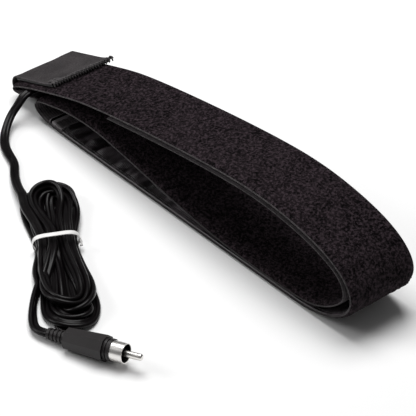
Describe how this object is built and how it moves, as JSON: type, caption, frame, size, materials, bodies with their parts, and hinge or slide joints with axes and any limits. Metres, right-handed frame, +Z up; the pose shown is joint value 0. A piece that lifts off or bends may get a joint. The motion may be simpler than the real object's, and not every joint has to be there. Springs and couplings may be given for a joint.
{
  "type": "wrap-around heating strap",
  "caption": "Wrap-around heating strap: folded loop-pile band lined with a thin heater pocket, hook tab that peels open, tied flat lead and phono plug.",
  "frame": {"origin": "on the surface the folded band lies on, under the middle of the band (without its free lead and plug)", "axes": "+X along the folded band from the hook tab's end to the outer bend, +Y across its width away from the free lead, +Z up"},
  "size_m": [0.2518, 0.1444, 0.0467],
  "materials": {
    "loop_tape": "black loop-pile tape, mottled and dull",
    "cover_nylon": "black nylon lining with a slight sheen",
    "hem_nylon": "smooth dark grey nylon strip",
    "carrier": "pale carrier film",
    "resistance_wire": "bare resistance alloy",
    "tinned_copper": "tinned copper",
    "shrink_sleeve": "black shrink tubing",
    "lead_jacket": "black soft PVC, slightly glossy",
    "copper": "bare stranded copper",
    "thread": "black polyester thread",
    "tab_weave": "dark grey woven tape, dull",
    "hook_tape": "black moulded nylon hooks",
    "edge_thread": "dark grey overcast thread",
    "tie": "white coated wire tie",
    "plug_moulding": "black moulded PVC, satin",
    "nickel": "bright nickel plate",
    "insulator": "black insulating disc"
  },
  "bodies": {
    "strap": {"loop_tape": "loop_tape", "heater_cover": "cover_nylon", "cover_hem": "hem_nylon", "carrier_strip": "carrier", "heater_wire": "resistance_wire", "splice_crimps": "tinned_copper", "splice_sleeves": "shrink_sleeve", "lead_end": "lead_jacket", "lead_cores": "copper", "edge_stitching": "thread", "hem_stitching": "thread", "pocket_stitching": "thread", "tab_anchor": "tab_weave", "tab_fold": "tab_weave", "cord_lead": "lead_jacket", "cord_hank": "lead_jacket", "cord_tail": "lead_jacket", "lead_tie": "tie", "plug_relief": "plug_moulding", "plug_grip": "plug_moulding", "plug_collar": "plug_moulding", "plug_shell": "nickel", "plug_pin": "nickel", "plug_insulator": "insulator", "plug_terminals": "tinned_copper", "plug_cores": "copper"},
    "hook_tab": {"tab_hooks": "hook_tape", "tab_backing": "tab_weave", "tab_edging": "edge_thread", "corner_tack": "thread"}
  },
  "joints": [
    {"name": "tab_peel", "type": "hinge", "parent": "strap", "child": "hook_tab", "pos_m": [-0.12084, 0, 0.00881], "axis": [0, -1, 0], "range_deg": [0, 160], "deforming": ["tab_fold"]}
  ]
}
